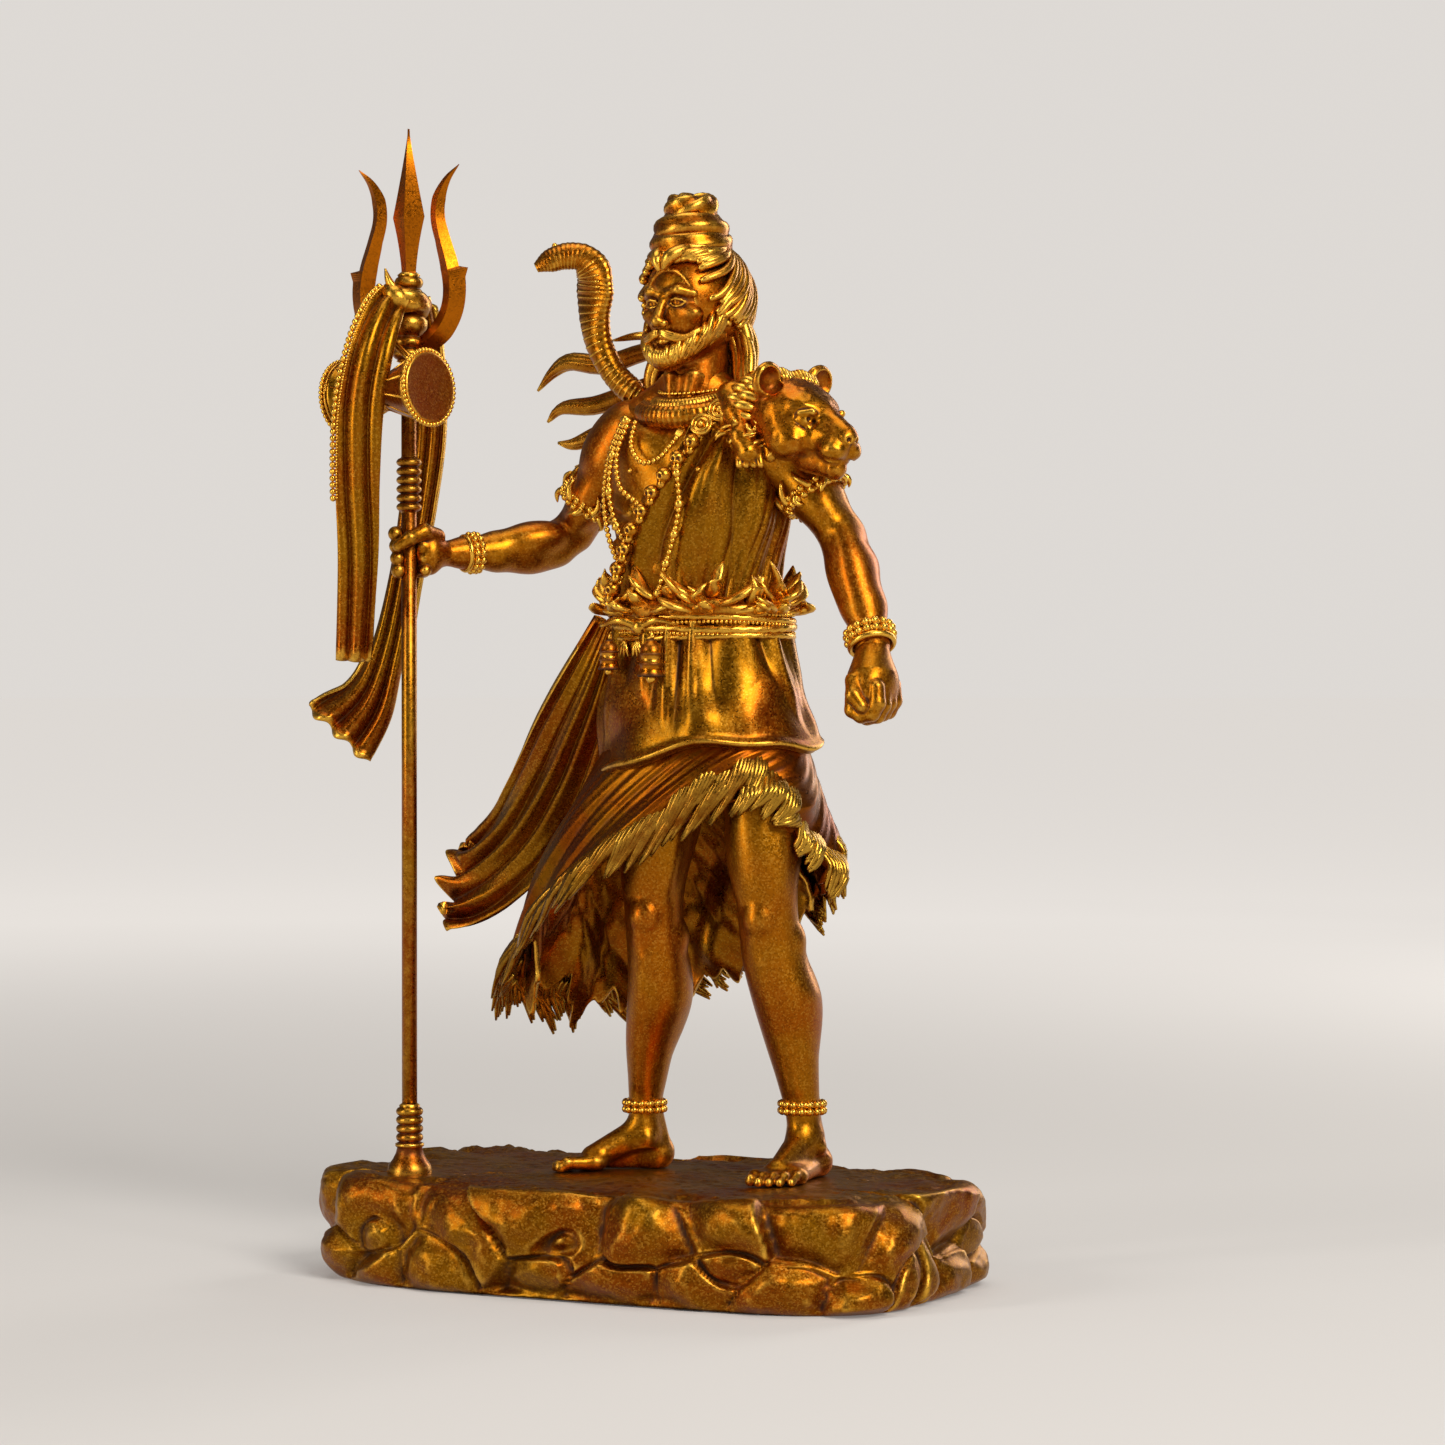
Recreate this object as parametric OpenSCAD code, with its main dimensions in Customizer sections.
// Standing ascetic with a trident on a rock base: a figurine built of pinned castings.
// Millimetres. The figure faces -Y and the base's long side lies along X.
// Every height below is measured from the top of the rock base, where the feet stand.

/* [Base] */
// Length of the rock base, left to right
base_l = 70; // [68:1:74]
// Depth of the rock base, front to back
base_w = 40; // [40:1:44]
// Height of the rock base
base_h = 11.2; // [9:0.1:14]

/* [Trident] */
// Diameter of the trident's staff
staff_d = 1.6; // [1.4:0.1:1.8]
// Running gap around the staff in the foot socket and in the fist
staff_gap = 0.05; // [0.03:0.01:0.1]
// Half the spread of the two side prongs
prong_spread = 6; // [5:0.1:7]
// Height of the centre blade's tip
blade_tip = 108.8; // [106:0.1:112]

/* [Pins and wire] */
// Diameter of the pins between the castings
pin_d = 2.6; // [2:0.1:3]
// Clearance around those pins
pin_gap = 0.05; // [0.02:0.01:0.1]
// Thickness of the beaded rings on arms and ankles
ring_d = 1.1; // [0.8:0.1:1.3]

/* [Drum] */
// Radius of the hourglass drum at its heads
drum_r = 3.7; // [3.2:0.1:3.9]
// Length of the hourglass drum between its heads
drum_l = 9.7; // [9:0.1:10.5]

/* [Hidden] */

gold = "goldenrod";
bronze = "darkgoldenrod";
amber = "peru";

pin_r = pin_d / 2;
ring_r = ring_d / 2;
staff_r = staff_d / 2;
sleeve_r = staff_r + 0.01;
bore_r = staff_r + staff_gap;
staff_x = -22.2;
staff_y = -11.6;
staff_low = -3.2;
staff_top = 93.6;
socket_r = 2;
socket_deep = 4;
pin_deep = 4;
front = [0, -1, 0];
round_n = 48;

// Sections of the body as [x, y, height, half width, half depth]
right_leg_rows = [
    [-2, 2.3, 2.6, 2, 2.5], [-1.8, 2.3, 6.2, 1.7, 1.9], [-1.3, 2, 9.4, 2, 2.2],
    [-0.7, 1.5, 13.7, 2.6, 2.9], [0.6, 1, 18, 3.4, 3.8], [0.8, 0.3, 22.2, 3.4, 3.7],
    [0.7, -0.5, 26.4, 3.2, 3.3], [0.7, -0.5, 30.6, 3.3, 3.5], [1.9, 0, 36.9, 3.8, 4.1],
    [1.6, 0.2, 43, 4.7, 4.9]
];
left_leg_rows = [
    [16.6, 3, 2.6, 2, 2.6], [16.3, 3, 6.8, 1.9, 2.1], [15.9, 2.6, 10.1, 2.2, 2.4],
    [15.4, 2, 14.3, 2.8, 3.1], [15.2, 1.2, 18.5, 3.6, 3.9], [13.9, -0.5, 24.7, 3.3, 3.5],
    [14.2, -1.1, 28.9, 3.2, 3.4], [13.5, -1, 33, 3.8, 4.1], [13.6, 0, 37, 4, 4.4],
    [12.2, 0, 43, 4.7, 5]
];
pelvis_rows = [
    [6.6, 0.2, 43, 10.3, 6.2], [6, 0.4, 49.4, 9.6, 6.2], [5.7, 0.4, 55.6, 8.6, 5.8],
    [5.6, 0.4, 57.8, 8.2, 5.5]
];
torso_rows = [
    [5.6, 0.4, 57.8, 8.2, 5.5], [5.3, 0.4, 60.8, 7.9, 5.3], [5, 0.5, 63.9, 8.4, 5.7],
    [4.9, 0.6, 67.1, 9, 6.1], [4.7, 0.8, 70.2, 9.4, 6.5], [4.5, 1, 73.3, 9.5, 6.6],
    [4.5, 1.3, 76.5, 8.8, 6], [4.5, 1.5, 78.6, 6.8, 4.8], [4.6, 1.5, 80.2, 4.4, 3.8],
    [4.7, 1.1, 81.2, 3.4, 3.4]
];
head_rows = [
    [4.7, 1.1, 81.2, 3.3, 3.4], [4.8, 0.7, 83.4, 3.3, 3.6], [4.8, -0.2, 84.4, 3.6, 4.6],
    [4.8, 0, 86.5, 4.5, 5.4], [4.8, 0.3, 89.8, 4.9, 5.9], [4.8, 0.5, 92.8, 4.8, 5.9],
    [4.8, 0.6, 95, 3.9, 4.9], [4.8, 0.6, 96, 2.2, 2.8]
];
hair_rows = [
    [4.9, 2.6, 84, 4.6, 3.6], [4.8, 1.6, 87, 5.6, 5.4], [4.8, 1, 90, 5.8, 6.1],
    [4.8, 0.7, 93.5, 5.7, 6.4], [4.8, 0.6, 95.6, 4.7, 5.2], [4.7, 0.6, 96.7, 3.6, 4]
];
beard_rows = [
    [4.8, -2.4, 82.6, 2, 2.2], [4.8, -1.9, 84, 3.4, 3.7], [4.8, -1, 86.5, 4.8, 5.1],
    [4.8, -0.6, 88.5, 5, 5.5]
];
kilt_rows = [
    [6.6, 0.2, 42, 12.4, 8.9], [6.6, 0.2, 43.6, 12.3, 8.8], [6, 0.4, 49.4, 11.1, 7.8],
    [5.7, 0.4, 55.6, 9.8, 6.9], [5.6, 0.4, 57.8, 9.5, 6.7]
];
kilt_wall = 1.2;

// Lines of the arm bones as [x, y, height], each from its shoulder down
right_bone = [
    [-2.6, 1.2, 77.6], [-5, 1.8, 74.5], [-8.2, 2.8, 70.4], [-10.6, 3.3, 67.5],
    [-12.4, 2.6, 65.9], [-14.2, 0, 65.3], [-16.4, -3.2, 65], [-18.6, -6.3, 64.7],
    [-20.2, -8.6, 64.6]
];
left_upper = [[12, 1, 77], [15.6, 1, 74.6], [18.6, 1, 70.4], [21.8, 1, 65.6]];
left_lower = [
    [21.8, 1.2, 66], [23.4, 0.4, 62.4], [25, -1, 58.6], [26.4, -2.4, 55.4], [27, -3.2, 53.6]
];

// Line of the scarf's front tail, from the knot over the drum to its end
front_tail = [
    [-22.6, -13.4, 91.5], [-22.4, -16.8, 88.6], [-22.6, -18.5, 84], [-23.7, -18.7, 78],
    [-24.8, -17.6, 70], [-25.6, -16.4, 62], [-26.8, -15.4, 53]
];
front_half = [1.4, 2, 2.2, 2.4, 2.4, 2.1, 1.7];

// Ends of the hourglass drum's axis are either side of this point
drum_mid = [-22.4, -14.6, 81.2];
drum_dir = [0.99, -0.12, 0.08];

function unit(v) = v / norm(v);

// A level oval of n points, counter-clockwise from above
function oval(c, rx, ry, n) =
    [for (i = [0 : n - 1]) c + [rx * cos(360 * i / n), ry * sin(360 * i / n), 0]];

// An oval of n points square to the direction t, flat across the normal nrm
function slanted(p, t, nrm, half, thick, n) =
    let (s = unit(cross(nrm, t)), w = cross(t, s))
    [for (i = [0 : n - 1]) p + half * s * cos(360 * i / n) + thick * w * sin(360 * i / n)];

function heading(path, i) =
    unit(path[min(i + 1, len(path) - 1)] - path[max(i - 1, 0)]);

// Where the pelt's lower edge runs at angle t, with the cloth's wall taken off by inset
function hem(t, inset) = [
    1.5 + (20.5 - inset) * cos(t),
    2.4 + (11.4 - inset) * sin(t),
    25.5 + 6.6 * cos(t) - 6.1 * sin(t)
];

// Closed solid through a stack of rings that all have the same number of points
module skin(rings) {
    n = len(rings[0]);
    m = len(rings);
    low = [for (i = [1 : n - 2]) [0, i, i + 1]];
    high = [for (i = [1 : n - 2]) [(m - 1) * n, (m - 1) * n + i + 1, (m - 1) * n + i]];
    side = [for (j = [0 : m - 2], i = [0 : n - 1], half = [0, 1])
        let (a = j * n + i, b = j * n + (i + 1) % n)
        half == 0 ? [a, a + n, b + n] : [a, b + n, b]];
    polyhedron(points = [for (r = rings) each r], faces = concat(low, high, side));
}

// Body section from rows of [x, y, height, half width, half depth], swelled by grow
module stack(rows, n = 16, grow = 0) {
    skin([for (r = rows) oval([r[0], r[1], r[2]], r[3] + grow, r[4] + grow, n)]);
}

// Limb, lock or cloth swept along a path, round where thick equals half
module sweep(path, half, thick, n = 10, nrm = front) {
    skin([for (i = [0 : len(path) - 1])
        slanted(path[i], heading(path, i), nrm, half[i], thick[i], n)]);
}

// Makes one casting of shapes that run into each other
module casting() {
    resize([0, 0, 0]) union() children();
}

// Stands things on top of the rock base
module standing() {
    translate([0, 0, base_h]) children();
}

// Turns +Z to the direction d and moves it to the point p
module along(p, d) {
    translate(p) rotate([0, acos(d[2] / norm(d)), atan2(d[1], d[0])]) children();
}

module wire_ring(major, minor) {
    rotate_extrude($fn = round_n) translate([major, 0]) circle(r = minor, $fn = 24);
}

module ring_pair(p, d, major, apart) {
    for (side = [-1, 1])
        along(p + side * apart * unit(d), d) wire_ring(major, ring_r);
}

// Turned shape from a half profile of [radius, height] points around the staff
module turned(profile) {
    translate([staff_x, staff_y, 0]) rotate_extrude($fn = round_n) polygon(profile);
}

module foot_form(heel, ball, toe, ankle) {
    hull() {
        translate(heel) cylinder(r1 = 1.9, r2 = 1.5, h = 2.8, $fn = 20);
        translate(ball) cylinder(r1 = 2.6, r2 = 1.8, h = 1.7, $fn = 20);
        translate(toe) cylinder(r1 = 2.1, r2 = 1.6, h = 1, $fn = 20);
        translate(ankle) cylinder(r = 1.9, h = 0.6, $fn = 20);
    }
}

module pin(at, low, high) {
    translate([at[0], at[1], low]) cylinder(r = pin_r, h = high - low, $fn = round_n);
}

module pin_bore(at, low, high) {
    translate([at[0], at[1], low]) cylinder(r = pin_r + pin_gap, h = high - low, $fn = round_n);
}

// Level pin across a shoulder, from one x to another
module shoulder_pin(from, to, r) {
    translate([from, 1.2, shoulder_z]) rotate([0, 90, 0])
        cylinder(r = r, h = to - from, $fn = round_n);
}

right_sole = [-2, 2.3];
left_sole = [16.6, 2.6];
right_hip = [1.6, 0.2];
left_hip = [12.2, 0];
spine = [5.4, 0.6];
neck = [4.7, 1.1];
shoulder_z = 75.6;

// Rounded block outline: a circle pushed out towards its corners
function block_point(t, a, b) = [
    a * sign(cos(t)) * pow(abs(cos(t)), 0.5),
    b * sign(sin(t)) * pow(abs(sin(t)), 0.5)
];

module rock_base() {
    n = 48;
    rows = [
        [0, 0.95], [0.15, 0.985], [0.3, 1], [0.47, 0.985], [0.55, 0.975], [0.72, 0.995],
        [0.9, 0.98], [1, 0.94]
    ];
    color(bronze) difference() {
        skin([for (r = rows) [for (i = [0 : n - 1])
            let (q = block_point(360 * i / n, base_l / 2, base_w / 2))
            [q[0] * r[1], q[1] * r[1], r[0] * base_h]]]);
        standing() {
            pin_bore(right_sole, -pin_deep - 0.1, 1);
            pin_bore(left_sole, -pin_deep - 0.1, 1);
            translate([staff_x, staff_y, -socket_deep])
                cylinder(r = socket_r + 0.02, h = socket_deep + 1, $fn = round_n);
        }
    }
}

module trident_foot() {
    flange = 2.3;
    ribs = [for (k = [0 : 3]) each [[1.2, 7.3 - k * 0.9], [1.4, 6.95 - k * 0.9]]];
    color(bronze) standing() turned(concat(
        [[bore_r, staff_low], [bore_r, 7.3]], ribs,
        [[1.2, 3.7], [1.15, 3.2], [1.5, 2.2], [flange, 1], [flange, 0], [socket_r, 0],
        [socket_r, -socket_deep], [0, -socket_deep], [0, staff_low]]));
}

module right_leg() {
    color(amber) standing() union() {
        casting() {
            stack(right_leg_rows, 14);
            foot_form([-0.9, 3.7, 0], [-7.4, -1.7, 0], [-9, -3.1, 0], [-2, 2.3, 3.4]);
        }
        pin(right_sole, -pin_deep, 0.6);
        pin(right_hip, 42.4, 43 + pin_deep);
    }
}

module left_leg() {
    color(amber) standing() union() {
        casting() {
            stack(left_leg_rows, 14);
            foot_form([17, 4.6, 0], [16.6, -3.6, 0], [16.6, -5.8, 0], [16.6, 3, 3.6]);
        }
        pin(left_sole, -pin_deep, 0.6);
        pin(left_hip, 42.4, 43 + pin_deep);
    }
}

module pelvis() {
    color(amber) standing() difference() {
        stack(pelvis_rows, 20);
        pin_bore(right_hip, 42, 43.1 + pin_deep);
        pin_bore(left_hip, 42, 43.1 + pin_deep);
        pin_bore(spine, 57.8 - pin_deep - 0.1, 60);
    }
}

module torso() {
    color(amber) standing() difference() {
        union() {
            stack(torso_rows, 20);
            pin(spine, 57.8 - pin_deep, 59);
            shoulder_pin(-6.4, -2, pin_r);
            shoulder_pin(11, 16.6, pin_r);
        }
        pin_bore(neck, 81.1 - pin_deep, 83);
    }
}

module head() {
    color(amber) standing() union() {
        stack(head_rows, 18);
        pin(neck, 81.2 - pin_deep, 82);
    }
}

module beard() {
    color(bronze) standing() casting() difference() {
        stack(beard_rows, 18);
        stack(head_rows, 18);
        translate([-5, 0.6, 80]) cube([20, 10, 12]);
    }
}

module hair_cap() {
    color(bronze) standing() casting() difference() {
        stack(hair_rows, 18);
        stack(head_rows, 18);
        stack(beard_rows, 18);
        translate([-2, -10, 80]) cube([14, 8.4, 12.5]);
    }
}

module hair_bun() {
    color(bronze) standing()
        stack([[4.6, 0.6, 96.7, 3.6, 4], [4.5, 0.6, 97.6, 4.6, 4.7], [4.5, 0.6, 98.7, 4.3, 4.4],
            [4.5, 0.7, 99.4, 3.1, 3.2]], 16);
}

module bun_top() {
    color(bronze) standing()
        stack([[4.5, 0.7, 99.4, 2.5, 2.6], [4.5, 0.7, 100, 3.1, 3.1], [4.5, 0.7, 100.9, 2.8, 2.8],
            [4.5, 0.7, 101.3, 1.8, 1.8]], 16);
}

module back_locks() {
    color(bronze) standing() casting() difference() {
        sweep([[8.2, 4.4, 88.4], [9.4, 5, 85], [10, 4.8, 81.4], [9.6, 4.6, 78]],
            [1.4, 2, 1.9, 0.8], [1.1, 1.4, 1.2, 0.5]);
        stack(hair_rows, 18);
        stack(head_rows, 18);
        stack(torso_rows, 20);
    }
}

module wind_locks() {
    color(bronze) standing() casting() difference() {
        union() {
            sweep([[1.5, 5.2, 86.4], [-3.5, 6.6, 86.2], [-9, 7.5, 84.6], [-17.2, 8, 83.7]],
                [1.5, 1.3, 1, 0.25], [1.2, 1, 0.7, 0.2], 8);
            sweep([[1.6, 5.4, 84], [-5, 7, 82], [-11, 8, 80.4], [-16.2, 8, 79.8]],
                [1.6, 1.5, 1.1, 0.25], [1.2, 1, 0.7, 0.2], 8);
            sweep([[1.4, 5.6, 82], [-5, 6.8, 79], [-10, 7.4, 77.6], [-13.6, 6.6, 77]],
                [1.6, 1.6, 1.2, 0.25], [1, 1, 0.7, 0.2], 8);
            sweep([[1, 4.6, 86.6], [-3, 4.8, 87.6], [-6.4, 4, 87.2]],
                [1, 0.8, 0.2], [0.8, 0.6, 0.2], 8);
        }
        stack(hair_rows, 18);
        stack(head_rows, 18);
        stack(torso_rows, 20);
    }
}

module right_arm_form() {
    half = [3.4, 3.5, 3, 2.5, 2.5, 2.9, 2.5, 1.8, 1.5];
    sweep(right_bone, half, half, 12);
}

module left_arm_form() {
    sweep(left_upper, [3.6, 3.8, 3.3, 2.6], [3.6, 3.8, 3.3, 2.6], 12);
    sweep(left_lower, [2.6, 3, 2.5, 1.8, 1.6], [2.6, 3, 2.5, 1.8, 1.6], 12);
}

module right_hand_form() {
    hull() {
        for (z = [63.9, 65.8]) {
            translate([-23.2, -11.2, z]) sphere(r = 1.5, $fn = 16);
            translate([-21.6, -12.5, z]) sphere(r = 1.5, $fn = 16);
            translate([-20.9, -9.8, z]) sphere(r = 1.5, $fn = 16);
        }
    }
}

module left_hand_form() {
    hull() {
        translate([27, -3.4, 53]) sphere(r = 1.7, $fn = 16);
        translate([27.6, -5.2, 49.4]) sphere(r = 1.8, $fn = 16);
        translate([26.6, -2.8, 49.4]) sphere(r = 1.8, $fn = 16);
        translate([27.2, -5.4, 51.6]) sphere(r = 1.8, $fn = 16);
    }
}

module right_arm() {
    color(amber) standing() difference() {
        casting() difference() {
            right_arm_form();
            stack(torso_rows, 20);
            right_hand_form();
        }
        shoulder_pin(-6.5, 1, pin_r + pin_gap);
    }
}

module left_arm() {
    color(amber) standing() difference() {
        casting() difference() {
            union() left_arm_form();
            stack(torso_rows, 20);
            left_hand_form();
        }
        shoulder_pin(8, 16.7, pin_r + pin_gap);
    }
}

module right_hand() {
    color(amber) standing() difference() {
        casting() right_hand_form();
        translate([staff_x, staff_y, 60]) cylinder(r = bore_r, h = 10, $fn = round_n);
    }
}

module left_hand() {
    color(amber) standing() casting() left_hand_form();
}

module cobra_coil() {
    color(bronze) standing() translate([5, 0.4, 79.8]) rotate([16, 0, 0]) wire_ring(5, 1.25);
}

module cobra_hood() {
    path = [[0.2, 2.4, 79.8], [-3.2, 2.6, 81.4], [-5.4, 2.4, 83.8], [-6.9, 2.1, 86.8],
        [-7.4, 2, 90], [-7.5, 1.8, 93], [-8.2, 1.3, 95.3], [-9.6, 0.6, 96], [-11.2, -0.1, 94.9]];
    wide = [1.2, 1.2, 1.1, 1.1, 1.5, 1.8, 1.6, 1.1, 0.6];
    deep = [1.2, 1.2, 1.1, 1, 0.9, 0.8, 0.8, 0.8, 0.5];
    color(bronze) standing() sweep(path, wide, deep, 10);
}

module bead_strands() {
    outer = [[0.6, -3.4, 78.6], [-0.8, -5, 74], [0.6, -6.4, 69], [3.4, -7, 65.6],
        [6.6, -7, 70], [8.6, -5.4, 76]];
    inner = [[1.6, -3.6, 79], [1.6, -5.9, 75], [3.8, -6.6, 72.4], [6.2, -5.8, 75.4]];
    thin = [for (p = outer) 0.5];
    color(gold) standing() casting() {
        sweep(outer, thin, thin, 8);
        sweep(inner, [for (p = inner) 0.45], [for (p = inner) 0.45], 8);
    }
}

module skull_garland() {
    path = [[9, -5, 78], [6.8, -6.6, 73.6], [4, -7.2, 69], [1.4, -6.8, 64.6], [0, -6.2, 62]];
    color(gold) standing() sweep(path, [0.8, 1, 1, 1, 0.8], [0.7, 0.8, 0.8, 0.8, 0.6], 10);
}

module leopard_head() {
    color(bronze) standing() casting() difference() {
        union() {
            translate([18.4, -2, 78.4]) sphere(r = 4, $fn = 20);
            hull() {
                translate([20, -3, 77.6]) sphere(r = 2.8, $fn = 14);
                translate([23.2, -4.2, 76]) sphere(r = 1.6, $fn = 14);
            }
            hull() {
                translate([16.6, -1.6, 78.8]) sphere(r = 3, $fn = 14);
                translate([14.4, -1, 79.8]) sphere(r = 2, $fn = 14);
            }
            translate([14.4, -2.6, 82.2]) sphere(r = 1.3, $fn = 12);
            translate([19.6, 1.2, 82.4]) sphere(r = 1.2, $fn = 12);
        }
        stack(torso_rows, 20);
        left_arm_form();
    }
}

module leopard_paw() {
    color(bronze) standing() casting() difference() {
        sweep([[12.4, -4.6, 79.4], [14, -5.8, 76.4], [15.4, -5.4, 73]],
            [1.8, 1.6, 0.7], [1.3, 1.2, 0.5]);
        stack(torso_rows, 20);
        left_arm_form();
    }
}

module chest_drape() {
    lean = 32;
    color(amber) standing() casting() difference() {
        stack([for (i = [1 : 7]) torso_rows[i]], 20, 1.1);
        stack(torso_rows, 20);
        left_arm_form();
        translate([3, 0, 68.7]) rotate([0, lean, 0]) translate([-60, -30, -40])
            cube([60, 60, 80]);
    }
}

module waist_fur() {
    tufts = 16;
    color(gold) standing() casting() difference() {
        union() {
            stack([[5.6, 0.4, 58.5, 9.4, 6.7], [5.5, 0.4, 60, 9.9, 7.2], [5.3, 0.4, 61.6, 9, 6.3]],
                20);
            for (k = [0 : tufts - 1]) {
                a = 360 * k / tufts;
                translate([5.5 + 8.9 * cos(a), 0.4 + 6.2 * sin(a), 60])
                    rotate([0, 50, a]) cylinder(r1 = 1.1, r2 = 0.15, h = 3.4, $fn = 8);
            }
        }
        stack(torso_rows, 20, 1.15);
    }
}

module belt_cords() {
    color(bronze) standing() casting() difference() {
        stack([[5.7, 0.4, 55.9, 9.9, 7], [5.7, 0.4, 56.4, 10.6, 7.7], [5.6, 0.4, 57, 10.2, 7.3],
            [5.6, 0.4, 57.6, 10.5, 7.6], [5.6, 0.4, 58.3, 9.8, 7]], 24);
        stack(kilt_rows, 24);
        translate([0, 0, 0.5]) stack(pelvis_rows, 20, 1.2);
    }
}

module waist_bells() {
    profile = [[0, 0.2], [0.5, 0], [1.15, 0.3], [1, 1.1], [0.7, 1.9], [0.4, 2.2], [0.3, 2.9],
        [0, 2.9]];
    color(gold) standing()
        for (p = [[5.4, -8.4, 53], [-0.6, -7.4, 53.2]])
            translate(p) rotate_extrude($fn = round_n) polygon(profile);
}

module kilt_apron() {
    color(bronze) standing() difference() {
        stack(kilt_rows, 24);
        stack([[6.6, 0.2, 41, 11.4, 7.9], [6.6, 0.2, 42.9, 11.4, 7.9], [6, 0.4, 49.4, 9.9, 6.6],
            [5.7, 0.4, 55.6, 8.6 + 0.3, 6.1], [5.6, 0.4, 58.5, 8.2 + 0.3, 5.8]], 24);
    }
}

module pelt_form(inset, low, high) {
    steps = 4;
    top = [for (i = [0 : 31]) [6.6 + (11.3 - inset) * cos(i * 11.25),
        0.2 + (7.8 - inset) * sin(i * 11.25), 42.9 + high]];
    skin([for (k = [steps : -1 : 0])
        let (u = k / steps)
        [for (i = [0 : 31])
            top[i] * (1 - u) + (hem(i * 11.25, inset) - [0, 0, low]) * u]]);
}

module pelt_skirt() {
    color(amber) standing() casting() difference() {
        pelt_form(0, 0, 0);
        pelt_form(0.8, 2, 0.5);
    }
}

module skirt_fringe() {
    path = [for (t = [-178 : 14 : 4]) hem(t, 0.4) - [0, 0, 1.1]];
    color(gold) standing() sweep(path, [for (p = path) 0.7], [for (p = path) 1.1], 8);
}

module side_sash() {
    path = [[-4.4, -2, 56.4], [-7.4, -0.5, 50.5], [-11, 1.5, 45], [-15.4, 3.5, 38.5],
        [-20.4, 5, 32.6], [-25, 6, 29.8], [-27, 6, 29]];
    wide = [1.4, 2, 2.6, 3, 3.4, 3.8, 4];
    color(amber) standing() casting() difference() {
        sweep(path, wide, [for (p = path) 1.2], 12);
        stack(kilt_rows, 24);
        pelt_form(0, 0, 0);
        thigh_room();
    }
}

// Room kept around the right thigh
module thigh_room() {
    stack(right_leg_rows, 14, 0.1);
}

module back_cloth() {
    rows = [for (k = [0 : 3]) let (u = k / 3)
        [[-10 + 3 * u, 8.6 - 1.6 * u, 15.6 + 13 * u], [6, 9.4 - 2 * u, 19 + 10 * u],
        [6, 8.6 - 2 * u, 19 + 10 * u], [-10 + 3 * u, 7.8 - 1.6 * u, 15.6 + 13 * u]]];
    color(amber) standing() casting() difference() {
        skin([for (r = rows) [r[3], r[2], r[1], r[0]]]);
        difference() {
            pelt_form(-3, 4, 0);
            pelt_form(0.9, 6, 1);
        }
    }
}

module right_armlet() {
    color(gold) standing() ring_pair([-8, 2.7, 70.7], [-3, 0.8, -4], 3.1, 0.7);
}

module left_armlet() {
    color(gold) standing() ring_pair([18.6, 1, 70.4], [3.2, 0, -4.6], 3.4, 0.7);
}

module right_bracelets() {
    color(gold) standing() ring_pair([-18.3, -5.8, 64.8], [-2.4, -3.5, -0.3], 1.95, 0.65);
}

module left_bracelets() {
    color(gold) standing() ring_pair([26.2, -2.2, 55.8], [1.4, -1.4, -3.2], 1.95, 0.65);
}

module right_anklets() {
    color(gold) standing() ring_pair([-1.7, 2.3, 6.6], [0, 0, 1], 1.95, 0.6);
}

module left_anklets() {
    color(gold) standing() ring_pair([16.3, 3, 7.2], [0, 0, 1], 2.1, 0.6);
}

module trident_shaft() {
    color(gold) standing() translate([staff_x, staff_y, staff_low])
        cylinder(r = staff_r, h = staff_top - staff_low, $fn = round_n);
}

module shaft_rings() {
    ribs = [for (k = [0 : 4]) each [[1.05, 69.4 + k], [1.3, 69.8 + k]]];
    color(gold) standing()
        turned(concat([[sleeve_r, 74.4], [sleeve_r, 69.2]], ribs, [[1.05, 74.4]]));
}

module trident_collar() {
    color(bronze) standing()
        turned([[sleeve_r, 89.2], [sleeve_r, 85], [1.3, 85], [1.6, 86], [2.1, 86.8], [1.9, 88],
            [1.2, 89.2]]);
}

module centre_blade() {
    rows = [[0, 0, staff_top, 0.9, 0.8], [0, 0, 95, 0.8, 0.75], [0, 0, 99.6, 2, 1],
        [0, 0, 104, 1.15, 0.7], [0, 0, blade_tip, 0.12, 0.1]];
    color(gold) standing() translate([staff_x, staff_y, 0]) stack(rows, 4);
}

module prong(side) {
    reach = prong_spread / 6;
    path = [for (q = [[2.3, 86.8], [3.6, 87.5], [4.9, 89.2], [5.5, 91.4], [5.2, 94], [4.3, 96.6],
        [3.5, 99], [3.7, 101], [4.6, 103], [6, 104.6]])
        [staff_x + side * q[0] * reach, staff_y, q[1]]];
    wide = [0.9, 1.1, 1.4, 1.5, 1.4, 1.1, 0.95, 0.9, 0.7, 0.15];
    thick = [0.8, 0.85, 0.9, 0.9, 0.85, 0.8, 0.7, 0.65, 0.5, 0.12];
    color(gold) standing() sweep(path, wide, thick, 8);
}

module left_prong() {
    prong(-1);
}

module right_prong() {
    prong(1);
}

module scarf_knot() {
    color(amber) standing() difference() {
        casting() hull() {
            translate([-22.4, -12, 91.2]) sphere(r = 1.9, $fn = 16);
            translate([-21.8, -11.9, 92.2]) sphere(r = 1.5, $fn = 16);
            translate([-22.8, -12.6, 91]) sphere(r = 1.6, $fn = 16);
        }
        translate([staff_x, staff_y, 85]) cylinder(r = sleeve_r, h = 12, $fn = round_n);
    }
}

module scarf_front() {
    color(amber) standing() sweep(front_tail, front_half, [for (p = front_tail) 0.55], 12);
}

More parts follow.
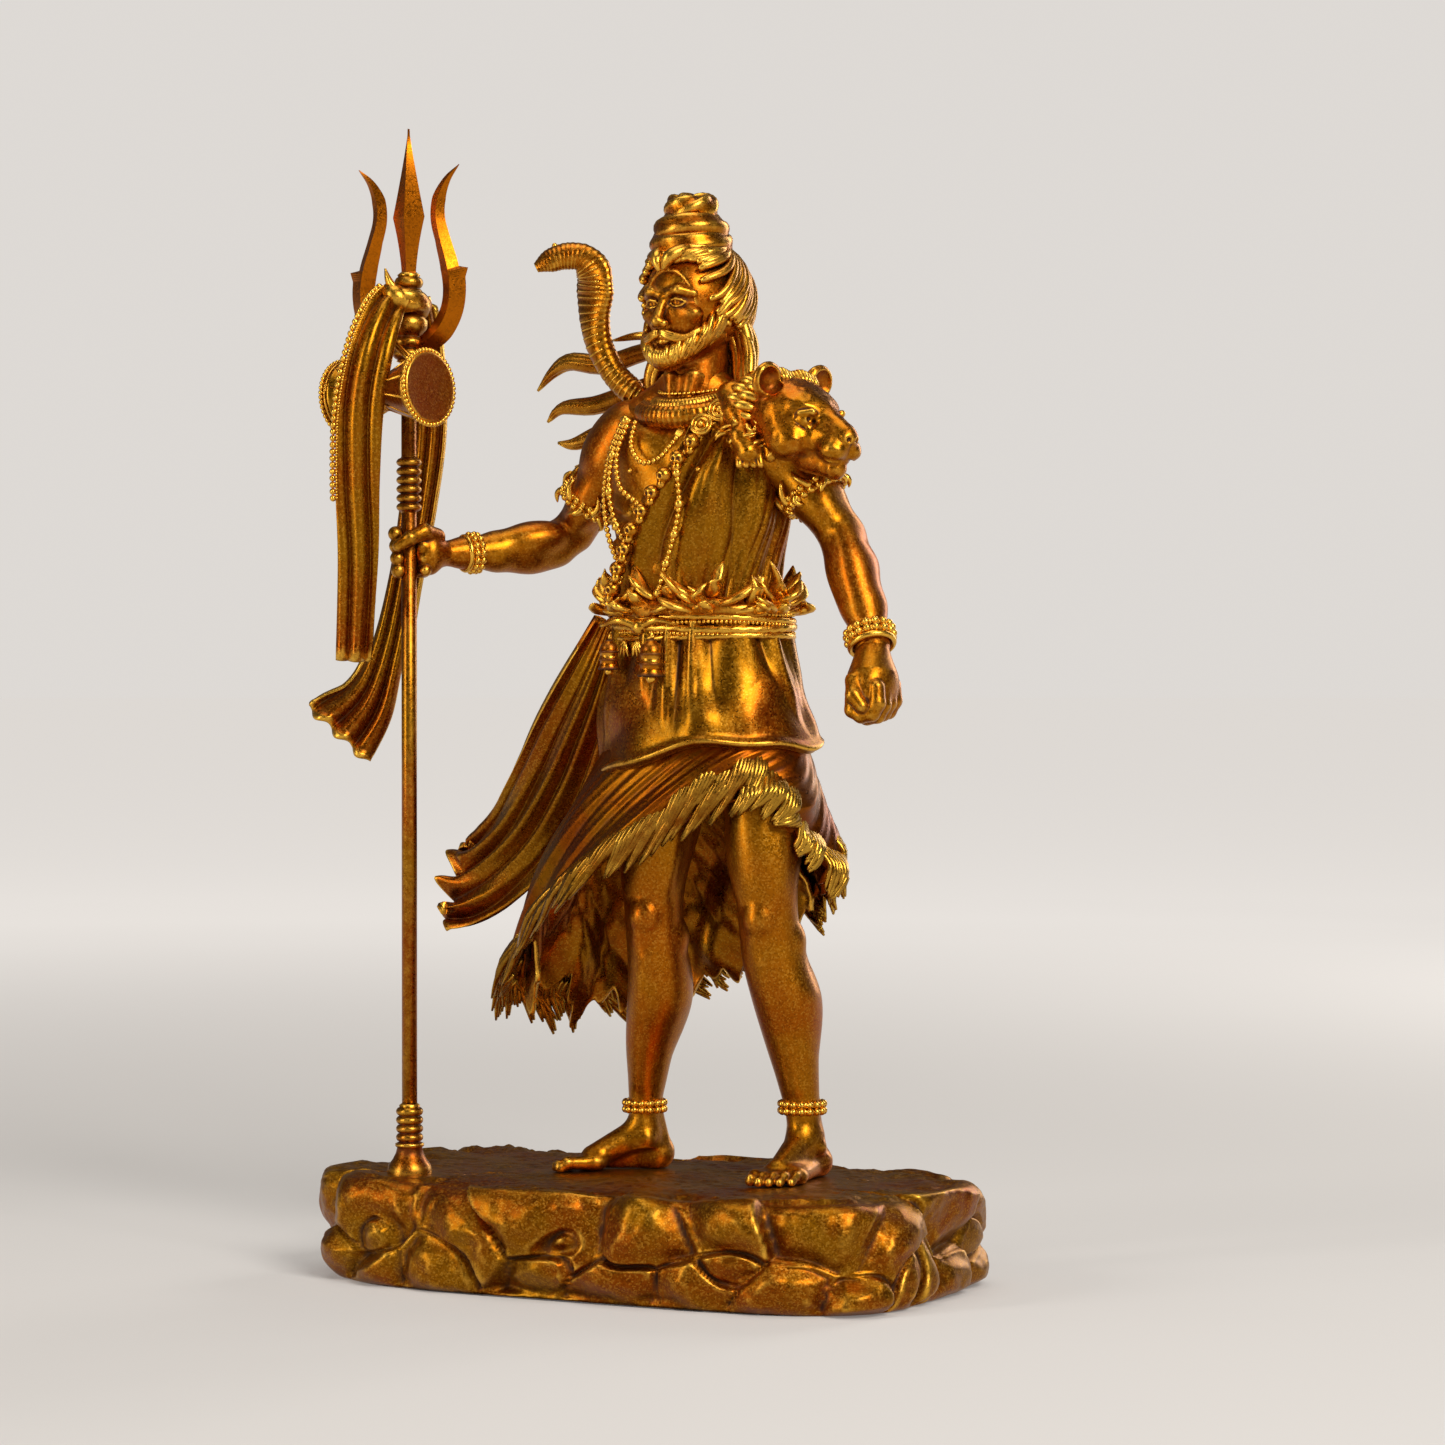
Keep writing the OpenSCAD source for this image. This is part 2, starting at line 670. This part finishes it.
module scarf_back() {
    path = [[-22.4, -9.8, 91], [-22.6, -8.4, 86], [-23.2, -7.2, 78], [-24.4, -6.8, 70],
        [-26, -6.8, 62], [-27.4, -7.6, 54], [-29, -9, 48], [-31.4, -10.4, 45]];
    wide = [1.2, 1.8, 2.1, 1.9, 1.5, 1.9, 2.5, 3];
    color(amber) standing() sweep(path, wide, [for (p = path) 0.55], 12);
}

module scarf_beads() {
    edge = [for (i = [1 : 5]) front_tail[i] - [front_half[i] + 0.3, 0, 0]];
    color(gold) standing() sweep(edge, [for (p = edge) 0.35], [for (p = edge) 0.35], 8);
}

module drum_frame(shift = 0) {
    along(drum_mid + shift * unit(drum_dir), drum_dir) children();
}

module drum_body() {
    h = drum_l / 2;
    waist = 1.5;
    color(amber) standing() drum_frame() rotate_extrude($fn = round_n)
        polygon([[0, -h], [drum_r, -h], [2.5, -h * 0.45], [waist, -0.6], [waist, 0.6],
            [2.5, h * 0.45], [drum_r, h], [0, h]]);
}

module drumhead(side) {
    color(bronze) standing() drum_frame(side * (drum_l / 2 + 0.2))
        cylinder(r = drum_r - 0.1, h = 0.4, center = true, $fn = round_n);
}

module near_drumhead() {
    drumhead(1);
}

module far_drumhead() {
    drumhead(-1);
}

module drum_rims() {
    color(gold) standing()
        for (side = [-1, 1])
            drum_frame(side * (drum_l / 2 + 0.2)) wire_ring(drum_r + 0.22, 0.3);
}

module drum_tie() {
    link = [[-22.3, -12.3, 81.2], [-22.35, -13.2, 81.2]];
    color(gold) standing() casting() {
        difference() {
            translate([staff_x, staff_y, 80.5]) cylinder(r = 1.4, h = 1.4, $fn = 24);
            translate([staff_x, staff_y, 80]) cylinder(r = sleeve_r + 0.02, h = 3, $fn = 24);
        }
        difference() {
            drum_frame() cylinder(r = 1.9, h = 1, center = true, $fn = 24);
            drum_frame() cylinder(r = 1.52, h = 3, center = true, $fn = 24);
        }
        difference() {
            hull() {
                for (p = link)
                    translate(p) sphere(r = 0.5, $fn = 12);
            }
            translate([staff_x, staff_y, 80]) cylinder(r = sleeve_r + 0.02, h = 3, $fn = 24);
            drum_frame() cylinder(r = 1.52, h = 3, center = true, $fn = 24);
        }
    }
}

// The pieces, one by one
rock_base();
trident_foot();
right_leg();
left_leg();
pelvis();
torso();
head();
beard();
hair_cap();
hair_bun();
bun_top();
back_locks();
wind_locks();
right_arm();
left_arm();
right_hand();
left_hand();
cobra_coil();
cobra_hood();
bead_strands();
skull_garland();
leopard_head();
leopard_paw();
chest_drape();
waist_fur();
belt_cords();
waist_bells();
kilt_apron();
pelt_skirt();
skirt_fringe();
side_sash();
back_cloth();
right_armlet();
left_armlet();
right_bracelets();
left_bracelets();
right_anklets();
left_anklets();
trident_shaft();
shaft_rings();
trident_collar();
centre_blade();
left_prong();
right_prong();
scarf_knot();
scarf_front();
scarf_back();
scarf_beads();
drum_body();
near_drumhead();
far_drumhead();
drum_rims();
drum_tie();
